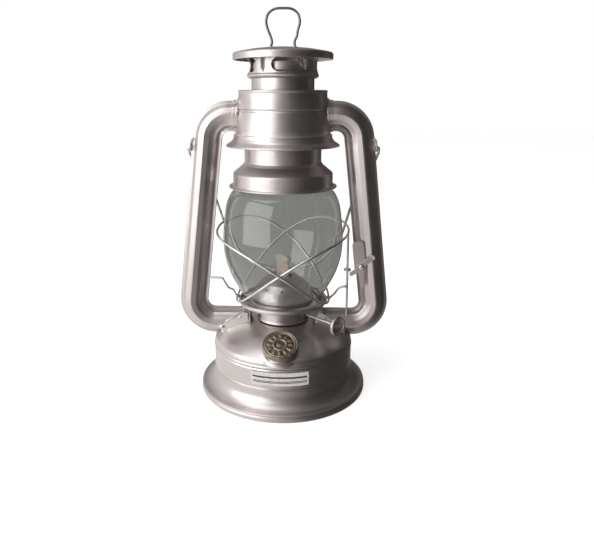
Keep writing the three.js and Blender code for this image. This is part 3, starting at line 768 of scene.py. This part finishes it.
def wick(turn):
    """A flat woven wick with a frayed, burnt head."""
    low, high = (p.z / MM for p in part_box("wick"))
    half_width, half_thick, corner = 6.0, 1.05, 0.28
    fray_foot = high - 6.6
    columns, levels = 26, 96
    vertices = []
    for level in range(levels + 1):
        z = low + (high - low) * level / levels
        frayed = max(0, min(1, (z - fray_foot + 0.4) / 3.6))
        crown = max(0, (z - high + 4.2) / 4.2)
        width = half_width * (1 + 0.24 * frayed ** 3) * math.sqrt(max(0.04, 1 - 0.8 * crown ** 2))
        thick = half_thick * (1 + 1.4 * frayed) * math.sqrt(max(0.05, 1 - 0.9 * crown ** 2))
        for k in range(columns):
            angle = math.tau * k / columns
            x = width * math.copysign(abs(math.cos(angle)) ** corner, math.cos(angle))
            y = thick * math.copysign(abs(math.sin(angle)) ** (corner + 0.5 * frayed), math.sin(angle))
            spot = Vector((x, y, z))
            lump = noise.noise(spot * 0.85) * 0.75 + noise.noise(spot * 2.3) * 0.45
            swell = 1 + frayed * lump * 0.26
            vertices.append((x * (1 + frayed * lump * 0.06), y * swell, z + frayed * lump * 0.35))
    ends = [tuple(range(columns)), tuple(range(levels * columns, (levels + 1) * columns))]
    faces = skin(0, levels + 1, columns) + ends
    band = stand_for(moved(mesh_object("wick_band", vertices, faces), turn), "wick", sharp=80)
    fibres = wick_fibres(turn, fray_foot, high)
    for piece in (band, fibres):
        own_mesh(piece)


def wick_fibres(turn, fray_foot, high):
    """Loose three-sided threads that stand out of the wick's head."""
    draw = random.Random(11)
    count, widths = 260, (0.11, 0.09, 0.03)
    vertices, faces = [], []
    for _ in range(count):
        angle = draw.uniform(0, math.tau)
        root = Vector((6.7 * math.cos(angle) * draw.uniform(0.5, 1), 2.1 * math.sin(angle),
                       draw.uniform(fray_foot + 2.6, high - 1.6)))
        lean = Vector((math.cos(angle) * 0.5, math.sin(angle), draw.uniform(-0.2, 1.1))).normalized()
        curl = Vector((draw.uniform(-1, 1), draw.uniform(-1, 1), draw.uniform(-0.6, 0.6))) * 0.35
        base = len(vertices)
        for step, thickness in enumerate(widths):
            point = root + lean * 0.42 * step + curl * (step / 2) ** 2
            for k in range(3):
                spin = math.tau * k / 3
                vertices.append((point.x + thickness * math.cos(spin), point.y,
                                 point.z + thickness * math.sin(spin)))
        faces += [*skin(base, 3, 3), (base, base + 1, base + 2), (base + 6, base + 7, base + 8)]
    return dressed(moved(mesh_object("wick_fibres", vertices, faces), turn), "wick", "cotton", sharp=80)


def knob(along_shaft):
    """The ringed wheel that turns the wick up: knurled rim, dished face, round boss."""
    start, rim = 48, 7
    line = softened([
        *rows(0, start, (0, 0, 0), (2.4, 0, 0.3), (2.5, 0.4, 0.3)),
        *rows(rim, start, (-0.9, 0.4, 0.3), (0, 1.4, 0.5), (0, 3, 0.5), (-0.6, 3.6, 0.5), (-1.5, 3.5, 0.5),
              (-1.9, 1.2, 0.6)),
        *rows(0, start, (3, 0.9, 0.6), (2.4, 1.6, 0.4), (2.1, 3, 0.4), (1.2, 3.1, 0.4), (0.9, 2.5, 0.2),
              (0, 2.5, 0)),
    ])

    def knurl(angle, radius, height):
        return (radius - 0.16 * (0.5 + 0.5 * math.cos(angle * 40)) if radius > rim - 0.35 else radius), height

    stand_for(moved(lathe("knob_wheel", line, 160, knurl), along_shaft), "wick_knob")


# ---- frame tubes and hood


def tube_section():
    """A pressed air tube's section and its bore, drawn from the outer seam to the inner one and mirrored."""
    half = [
        (-9.5, 0.35, 0.2), (-7.4, 0.75, 0.5), (-6.9, 2.7, 0.8), (-4.7, 5.6, 1.4), (-1.5, 7.4, 0.9),
        (-0.4, 7.6, 0.6), (3, 6.8, 2), (5.4, 5.5, 0.6), (6, 5.35, 0.6), (7.6, 4, 1.4), (8.6, 1.6, 0.8),
        (9.2, 0.5, 0.3), (11.1, 1, 0.2), (11.3, 0.5, 0.15),
    ]
    bore = [(-6, 2, 1), (-4, 4.6, 1), (-0.8, 6.8, 1), (2.8, 5.9, 1), (6, 4.2, 1), (7.4, 2.4, 1)]
    return [loop([*points, *[(x, -y, r) for x, y, r in reversed(points)]]) for points in (half, bore)]


def air_tubes():
    start = 27.5
    route = bent([
        (start, 0, TUBE_TOP[1]), (TUBE_TOP[0], 0, TUBE_TOP[1]),
        (TUBE_FOOT[0], 0, TUBE_FOOT[1]), (24, 0, TUBE_FOOT[1]),
    ], TUBE_BEND, 4)
    (inner_x, inner_z), (outer_x, outer_z) = SADDLE_INNER, SADDLE_OUTER
    below = prism("below", [
        (10, 30), (outer_x, 30), (outer_x, outer_z), (inner_x, inner_z), (inner_x, 70), (10, 70),
    ], -14, 28)
    section, bore = tube_section()
    right = carved(sweep("right_air_tube", section, route, ACROSS, bore), below)
    left = flipped(placed("left_air_tube", right.data.copy()))
    stand_for(right, "right_tube")
    stand_for(left, "left_tube")

    slope = Vector((outer_x - inner_x, 0, outer_z - inner_z)).normalized()
    along_and_out = ((1.2, 1.5), (3.2, 4.9), (6.8, 5.7), (11, 7.1), (16, 6.8), (19, 4.9))
    lift = Vector((0, 0, 0.1))
    blobs = (
        ((44.6, -7.4, 45.6), (2.3, 1.1, 1.6)), ((31, -7.2, 53.6), (1.7, 0.9, 1.2)),
        ((44.6, 7.4, 45.6), (2.2, 1.1, 1.5)),
    )
    for name, sign in (("right", 1), ("left", -1)):
        for number, side in enumerate((1, -1)):
            edge = [Vector((inner_x, 0, inner_z)) + slope * d + ACROSS * side * w + lift
                    for d, w in along_and_out]
            points = [(sign * p.x, p.y, p.z) for p in edge]
            trim(wire(f"{name}_tube_foot_rim_{number}", points, 0.35, 10))
        hood_flanges(f"{name}_hood_flange" if sign > 0 else f"{name}_flange", sign)
        for number, ((x, y, z), size) in enumerate(blobs):
            solder(f"{name}_saddle_solder_{number}", (sign * x, y, z), size, "frame", 10 + number + sign)


def hood_flanges(name, sign):
    """The stepped plates that close the hood round the top end of a tube."""
    section = tube_section()[0]
    for number, (start, end, grow) in enumerate(((30.4, 34.6, 0.55), (30.4, 32, 1.5))):
        flange = [(x * (1 + grow / 9), y * (1 + grow / 7)) for x, y in section]
        route = [Vector((start + (end - start) * k / 3, 0, TUBE_TOP[1])) for k in range(4)]
        plate = bevelled(sweep(f"{name}_{number}", flange, route, ACROSS), 0.25, 2)
        trim(plate if sign > 0 else flipped(plate))


def kept_nodes():
    """CAD nodes that are shown as they are, with soft edges."""
    for node in ("right_saddle", "left_saddle", "burner_base", "wick_tube", "wick_sprocket"):
        piece = frame["nodes"][node]
        for slot in piece.material_slots:
            slot.link = "OBJECT"
            slot.material = MATERIAL[SLOT[node]]
        bevel(piece, 0.25, 2, 30)


def hood():
    reach, foot, top = measure("hood_drum")
    throat = measure("chimney_tube")[0] + 0.5
    drum = shell([
        *rows(reach, foot, (0, 0), (0, 5.2, 2), (-0.9, 10.5, 3), (-1.9, 17.4, 1.5), (-2.5, 18.3, 0.5),
              (-2.6, 19, 0.5), (-2, 19.8, 0.7), (-2.1, 25.7, 3), (-2.6, 30.4, 1.2), (-2.1, 31.2, 0.6)),
        *rows(reach, top, (-2.4, -0.3, 0.5), (-3.6, 0, 0.8)),
        *rows(throat, top, (2.2, 0, 0.8), (1, -0.7, 0.8), (0, -0.7)),
    ])
    stand_for(spun("hood_can", drum, 0.1, 15), "hood_drum")

    lip, low, high = measure("hood_skirt")
    skirt = shell([
        *rows(lip, low, (-1.3, 0.15), (-0.3, 0, 0.4), (0, 0.6, 0.4), (-0.7, 1.35, 0.5), (-4.2, 3.7, 3),
              (-5.5, 6.1, 2)),
        *rows(lip, high, (-5.5, -0.6, 0.5), (-6.2, 0)),
    ])
    stand_for(spun("hood_flare", skirt, 0.12, 21), "hood_skirt")

    push_spring()


def push_spring():
    """The coil between hood and bell, in two runs: the upper one on the frame, the lower one on the globe
    carriage.
    """
    radius, foot, middle, top = 24.3, 187.4, 200.9, 214.4
    per_turn, count = 44, 110
    runs = (
        ("push_spring_upper", middle, top, "globe_lift", "frame"),
        ("push_spring_lower", foot, middle, "chimney_pull", "globe_carriage"),
    )
    for name, low, high, joint, body in runs:
        start = math.pi if low == middle else 0
        coil = []
        for k in range(count + 1):
            angle = start + math.tau * k / per_turn
            coil.append((radius * math.cos(angle), radius * math.sin(angle), low + (high - low) * k / count))
        piece = dressed(wire(name, coil, 0.75, 10), body, "spring_steel")
        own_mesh(piece)
        if body == BODY["chimney_spring"]:
            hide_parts("chimney_spring")


# ---- chimney


def chimney():
    reach, foot, top = measure("chimney_tube")
    baffle_top = 234.8  # the tube stands up behind the slots of the vent ring
    tube = shell([
        *rows(reach, foot, (-0.5, 0), (0, 0.6, 0.3)), *rows(reach, top, (0, -2.4, 0.8), (-1.8, -0.6, 0.8)),
        (reach - 1.8, baffle_top),
    ])
    stand_for(lathe("flue_tube", tube), "chimney_tube")

    reach, foot, top = measure("globe_bell")
    neck, seat = 27.0, 22.3
    bell = shell([
        *rows(reach, foot, (-3.8, 0.1), (-0.3, 0.05, 0.4), (0, 0.5, 0.4), (-0.3, 0.95, 0.4), (-2.6, 1.2, 0.5),
              (-3, 2, 0.5), (-3, 9.6, 0.9), (-3.6, 10.5, 0.6), (-5.2, 11.8, 1.2)),
        *rows(neck, foot, (1.4, 15.6, 1.6), (0, 17.6, 1.2)),
        (neck, top - 2.2, 1.6), (24.5, top, 0.8), (seat, top),
    ])
    stand_for(spun("bell_skin", bell, 0.1, 30), "globe_bell")
    vent_ring(seat - 0.2)
    canopy()


def vent_ring(seat):
    """The pierced ring under the canopy: four long slots, and a pressed groove down each pillar."""
    reach, foot, top = measure("vent_ring")
    wall, wall_foot, wall_top = reach - 0.7, foot + 3.8, top - 0.1
    flange = rows(reach, foot, (-1.7, 0, 0.3), (-0.5, 0.9, 0.5), (0, 2, 0.5), (-0.7, 3.3, 0.8))
    corners = [(seat, foot + 0.2), *flange]
    levels, flare = 12, 0.3
    for k in range(levels + 1):
        corners.append((wall + flare * k / levels, wall_foot + (wall_top - wall_foot) * k / levels, 0))
    pillar, slots = math.radians(-120), 4
    apart = math.tau / slots
    groove_foot, groove_top = foot + 4.5, top - 1

    def grooved(angle, radius, height):
        if not groove_foot < height < groove_top:
            return radius, height
        across = ((angle - pillar + apart / 2) % apart - apart / 2) * reach
        banks = 0.35 * math.exp(-((abs(across) - 1.3) / 0.5) ** 2)
        return radius + banks - 0.9 * math.exp(-(across / 0.55) ** 2), height

    middle = 232.7
    slot = [*arc((8, 0), 4.5, -90, 90, 16), *arc((-8, 0), 4.5, 90, 270, 16)]
    cutters = []
    for number in range(slots):
        centre = pillar + apart / 2 + apart * number
        cutter = prism("slot", [(x, z + middle) for x, z, _ in slot], -34, 24)
        cutters.append(moved(cutter, Matrix.Rotation(centre + math.pi / 2, 4, "Z")))
    stand_for(carved(lathe("vent_band", shell(corners), 240, grooved), *cutters), "vent_ring")


def canopy():
    reach, foot, top = measure("canopy")
    lid = shell([
        *rows(reach, foot, (-0.7, 0), (0, 0.3, 0.3), (0, 3.9, 0.7), (-0.8, 4.8, 1), (-4, 5.5, 4)),
        *rows(0, top, (22, -1.5, 6), (12, -0.4, 4), (0, 0)),
    ])
    stand_for(spun("canopy_lid", lid, 0.08, 40), "canopy")

    leg = 8
    half = [(leg, 240.9), (leg, 245.6), (7.5, 248.6), (8.4, 252), (9.9, 255.6), (11.1, 259.6), (11.2, 263),
            (9.7, 266.9), (5.7, 269.6)]
    outline = [*half, (0, 270.1), *[(-x, z) for x, z in reversed(half)]]
    right_kink = {2: (7.9, 248.9), 3: (9.4, 252.2)}  # the right leg is bent a little out of true
    outline = [right_kink.get(k, p) for k, p in enumerate(outline)]
    smooth = catmull([(x, 0, z) for x, z in outline], 8)
    ring = stand_for(wire("lid_ring", smooth, 0.85), "ring_handle")
    ring.data.materials[0] = MATERIAL["spring_steel"]  # a darker wire than the guard's
    washer = loop([(0.8, 0, 0.2), (1.9, 0, 0.2), (1.7, 0.7, 0.2), (0.8, 0.9, 0.2)])
    for side, x in (("left", -leg), ("right", leg)):
        piece = lathe(f"ring_washer_{side}", washer, 32)
        dressed(moved(piece, at(x, 0, top - 0.35)), "chimney", "silver_paint")


def catmull(points, steps):
    """A smooth line through points."""
    p = [Vector(q) for q in points]
    p = [2 * p[0] - p[1], *p, 2 * p[-1] - p[-2]]
    line = []
    for a, b, c, d in zip(p, p[1:], p[2:], p[3:]):
        for k in range(steps):
            t = k / steps
            line.append(0.5 * (2 * b + (c - a) * t + (2 * a - 5 * b + 4 * c - d) * t ** 2
                               + (3 * b - a - 3 * c + d) * t ** 3))
    return [*line, p[-2]]


# ---- globe carriage


def globe():
    _, foot, top = measure("globe")
    outer = catmull([
        *rows(0, foot, (28.4, 0, 0), (29.3, 3.6, 0), (32.7, 9.9, 0), (36.8, 17.3, 0), (39.9, 24.8, 0),
              (42.3, 34.3, 0), (43.1, 45.3, 0), (42.7, 53.3, 0), (41.8, 62.3, 0), (40.4, 70.8, 0),
              (37.2, 78.3, 0), (32.8, 82.5, 0), (31.1, 86.3, 0)),
        (30.9, top, 0),
    ], 8)
    wall = 1.5
    line = shell([(p.x, p.y, 0) for p in outer], wall)
    stand_for(spun("globe_glass", line, 0.16, 50), "globe")


def globe_plate():
    reach, foot, _ = measure("globe_plate")
    plate = shell([
        *rows(0, foot, (24, 1), (27.6, 1, 0.5), (28.4, 1.4, 0.5), (30, 1.1, 0.6), (30.7, 0, 0.4),
              (31.7, -0.05, 0.4), (reach, 1, 0.6), (reach, 2.3, 0.6), (31.8, 3.1, 0.5), (30.9, 2.9, 0.4)),
    ], 0.45)
    stand_for(spun("globe_seat", plate, 0.05, 60), "globe_plate")


def guard():
    """Two crossing loops of wire: each is open at its low side, and climbs to the other."""
    shift, reach, middle, rise, belly, lean = 6.7, 40.5, 93, 26, 13, 4.4
    half = math.pi - math.radians(3)
    steps, tie_size = 150, (1.2, 3.4, 0.9)
    for node, high_side, depth in (("guard_loop_left", -1, 48.2), ("guard_loop_right", 1, 46.2)):
        points = []
        for k in range(steps + 1):
            turn = half - 2 * half * k / steps
            sway = 0.35 * noise.noise(Vector((turn * 1.4, depth, 0)))
            points.append((
                high_side * (shift + reach * math.cos(turn)), (depth + sway) * math.sin(turn),
                middle + rise * math.cos(turn) + belly * math.sin(turn) ** 2 + lean * math.sin(turn),
            ))
        stand_for(wire(node + "_wire", points, GUARD_WIRE), node)
        tie = (-high_side * 33.3, 0, 67.3)
        solder(node + "_solder", tie, tie_size, "globe_carriage", 70 + high_side)


def arms_and_rod():
    left = bent([(-33.9, 0, 66.3), (-36.6, -1, 72.4), (-40.4, -1.5, 74.2), (-44.6, -1.9, 81.8),
                 (-54.3, -2, 82)], 1.6, 12)
    right = bent([(33.9, 0, 66.3), (37.6, -1.2, 70.2), (40.9, -3, 75.6), (45.5, ROD[1], 77.4)], 2.4, 12)
    rod = bent([(47, -1.6, 116.7), (*ROD, 113.6), (*ROD, 45.5)], 1.6, 12)
    for node, line in (("left_arm", left), ("right_arm", right), ("lift_rod", rod)):
        stand_for(wire(node + "_wire", line, GUARD_WIRE), node)
    _, low, high = measure("rod_stop")
    stop = loop([(0.7, low, 0.2), (2.6, low, 0.3), (2.6, high, 0.3), (0.7, high, 0.2)])
    stand_for(moved(lathe("rod_stop_ring", stop, 48), at(*ROD, 0)), "rod_stop")
    solder("rod_arm_solder", (46.4, ROD[1], 77.3), (1.2, 1.2, 1.5), "globe_carriage", 81)
    for name, x, seed in (("left_arm_solder", -33.9, 82), ("right_arm_solder", 33.9, 83)):
        solder(name, (x, 0, 66.7), (1.3, 1.7, 0.9), "globe_carriage", seed)


# ---- lever, ears and bail


def lift_lever():
    """The lever, its bracket and rivet, drawn in a frame that leans with the right tube."""
    level = 100
    across = TUBE_TOP[0] + (TUBE_TOP[1] - level) * math.tan(TUBE_LEAN)
    place = at(across, 0, level) @ Matrix.Rotation(-TUBE_LEAN, 4, "Y")
    bracket = loop([
        (-11.6, -9, 1), (-4.4, -9, 1), (-4.4, 11, 1), (-6, 12.6, 1), (-11, 12.6, 1), (-12.6, 11, 1),
        (-12.6, -6, 2),
    ])
    stand_for(moved(bevelled(prism("lever_plate", bracket, -8, 0.9), 0.2), place), "lever_bracket")

    blade = loop([
        (-16.4, -11.6, 0.6), (-14.6, -11.8, 0.6), (-10.2, -9.4, 2), (-9.4, -21, 1), (-8.2, -22, 1),
        (-7, -21, 1), (-5.6, -9, 2), (-4, -5, 1.5), (2.2, -0.4, 1), (2.2, 2.2, 1), (0, 2.2, 1),
        (-7, -2, 1.5), (-10.4, -4, 1.5), (-11, -6, 1), (-16.4, -9.4, 0.6),
    ])
    lever = bevelled(prism("lever_blade", blade, -9.4, 0.9), 0.22)
    stand_for(moved(lever, place), "lift_lever")
    thumb = loop([(-0.8, -1.3, 0.6), (0.8, -1.3, 0.6), (1, 1.4, 0.8), (-0.6, 1.4, 0.6)])
    tab = prism("lever_thumb_tab", [(x + 1.4, z + 0.9) for x, z in thumb], -13.6, 4.6)
    dressed(moved(bevelled(tab, 0.35), place), "lift_lever", "silver_paint")
    prong = wire("lever_prong", [(-15.4, y / 10, -10.5) for y in range(-90, -52, 6)], GUARD_WIRE)
    dressed(moved(prong, place), "lift_lever", "wire_steel")

    line = softened([
        (0, -10.7, 0), (1.5, -10.6, 0.8), (2.2, -10, 0.5), (2.2, -9.8, 0.2), (1.05, -9.75, 0.1),
        (1.05, -6.8, 0.1), (1.7, -6.75, 0.2), (1.6, -6.3, 0.3), (0, -6.25, 0),
    ])
    along_pin = at(-7.5, 0, -6) @ Matrix.Rotation(-math.pi / 2, 4, "X")
    stand_for(moved(lathe("lever_rivet_pin", line, 40), place @ along_pin), "lever_rivet")


def ears_and_bail():
    pivot = JOINT["bail_swing"]["pos_m"][2] / MM
    ring = loop([(1.5, -0.5, 0.2), (3.1, -0.5, 0.4), (3.1, 0.5, 0.4), (1.5, 0.5, 0.2)])
    plate = loop(rows(0, pivot, (64.2, 2.5, 0.3), (65.6, 2.5, 0.3), (65.2, 5.2, 0.6), (63.9, 5.6, 0.6)))
    sideways = at(65.1, 0, pivot) @ Matrix.Rotation(math.pi / 2, 4, "Y")
    for sign, node in ((1, "right_bail_ear"), (-1, "left_bail_ear")):
        eye = moved(lathe(node + "_eye", ring, 56), sideways)
        tab = bevelled(prism(node + "_tab", plate, -1.8, 3.6), 0.3)
        if sign < 0:
            flipped(eye)
            flipped(tab)
        stand_for(eye, node)
        trim(tab)
        solder(node + "_solder", (sign * 63.6, 0, pivot + 5.3), (0.9, 2.2, 1.2), "frame", 90 + sign)

    hang = math.radians(24)
    side = [
        (64.7, 0), (66.9, 0), (66.9, -4.5), (62.9, -17), (51, -45), (45.3, -72), (40.5, -92), (27, -107),
        (9, -112),
    ]
    route = bent([*[(x, 0, z) for x, z in side], *[(-x, 0, z) for x, z in reversed(side)]], 1.6, 9)
    place = at(0, 0, pivot) @ Matrix.Rotation(hang, 4, "X")
    stand_for(moved(wire("bail_wire", route, 1, 16), place), "bail")


# ---- studio


def floor():
    """Pale paper that gives off a little light, and that reflections and rays through glass don't meet."""
    half = 3.0
    work = bmesh.new()
    bmesh.ops.create_grid(work, x_segments=2, y_segments=2, size=half)
    data = bpy.data.meshes.new("studio_floor")
    work.to_mesh(data)
    work.free()
    ground = placed("studio_floor", data)
    material, tree, shader = new_material("floor_paper", (0.86, 0.86, 0.855), 0, 0.85)
    shader.inputs["Emission Color"].default_value = (1, 1, 1, 1)
    shader.inputs["Emission Strength"].default_value = 0.76
    tree.links.new(tint(tree, noise_texture(tree, 3, 2), (0.85, 0.85, 0.845), (0.875, 0.875, 0.87)),
                   shader.inputs["Base Color"])
    data.materials.append(material)
    ground.visible_glossy = False
    ground.visible_transmission = False


def softbox(name, azimuth, height, distance, size, power):
    """An area light aimed at the lantern's middle; azimuth 0 is in front, and positive is to the right."""
    lamp = bpy.data.lights.new(name, "AREA")
    lamp.shape = "RECTANGLE"
    lamp.size, lamp.size_y = size
    lamp.energy = power
    holder = placed(name, lamp)
    angle = math.radians(azimuth)
    holder.location = (distance * math.sin(angle), -distance * math.cos(angle), height)
    aim = Vector((0, 0, 0.13)) - holder.location
    holder.rotation_euler = aim.to_track_quat("-Z", "Y").to_euler()


def surroundings():
    """A room that is bright to the left and dim to the right, in front of a white backdrop."""
    shades = (
        (-1, (0.86, 0.85, 0.83)), (-0.75, (0.7, 0.68, 0.67)), (-0.35, (0.4, 0.375, 0.37)),
        (0, (0.21, 0.19, 0.185)), (0.35, (0.075, 0.07, 0.066)), (0.7, (0.035, 0.032, 0.03)),
        (1, (0.03, 0.028, 0.026)),
    )
    low_shades = (
        (-1, (1, 0.98, 0.96)), (-0.5, (1, 0.97, 0.96)), (-0.1, (0.68, 0.64, 0.63)),
        (0.2, (0.34, 0.315, 0.305)), (0.6, (0.05, 0.046, 0.043)), (1, (0.03, 0.028, 0.026)),
    )
    through_glass, backdrop = (0.22, 0.22, 0.212), (1, 1, 1)
    world = bpy.data.worlds.new("studio")
    bpy.context.scene.world = world
    world.use_nodes = True
    tree = world.node_tree
    tree.nodes.clear()
    split = shader_node(tree, "SeparateXYZ", Vector=shader_node(tree, "TexCoord").outputs["Generated"])
    across = spread(tree, split.outputs["X"], 0, 1, -1, 1)
    ramps = []
    for row in (shades, low_shades):
        ramp = shader_node(tree, "ValToRGB", Fac=across)
        elements = ramp.color_ramp.elements
        while len(elements) < len(row):
            elements.new(0.5)
        for element, (to_right, shade) in zip(elements, row):
            element.position = (to_right + 1) / 2
            element.color = (*shade, 1)
        ramps.append(ramp.outputs["Color"])
    below = spread(tree, split.outputs["Z"], 1, 0, -0.4, -0.05)
    room = tint(tree, below, *ramps)
    ray = shader_node(tree, "LightPath")
    seen = tint(tree, ray.outputs["Is Transmission Ray"], room, through_glass)
    seen = tint(tree, ray.outputs["Is Camera Ray"], seen, backdrop)
    background = shader_node(tree, "Background", Color=seen)
    shader_node(tree, "OutputWorld", Surface=background.outputs["Background"])
    bpy.context.scene.view_settings.view_transform = "Standard"


def camera():
    """Eye a little above the lantern's middle and close to it, looking 12 degrees down."""
    distance, eye_height = 0.409, 0.2132
    azimuth, pitch = math.radians(2.5), math.radians(12)
    lens = bpy.data.cameras.new("camera")
    lens.lens = 35.2
    lens.sensor_width = 36
    lens.shift_x, lens.shift_y = 0.0236, -0.095
    lens.clip_start = 0.01
    eye = placed("camera", lens)
    eye.location = (distance * math.sin(azimuth), -distance * math.cos(azimuth), eye_height)
    eye.rotation_euler = (math.pi / 2 - pitch, 0, azimuth)
    bpy.context.scene.camera = eye


camera()
surroundings()
floor()
softbox("key_softbox", -50, 0.38, 0.95, (1.1, 0.9), 5.8)
softbox("top_softbox", -60, 1.0, 0.45, (0.7, 0.6), 2.4)
softbox("rim_softbox", 118, 0.3, 0.95, (0.14, 0.7), 0.05)

fount()
back_seam()
nameplate()
filler()
burner()
air_tubes()
kept_nodes()
hood()
chimney()
globe()
globe_plate()
guard()
arms_and_rod()
lift_lever()
ears_and_bail()
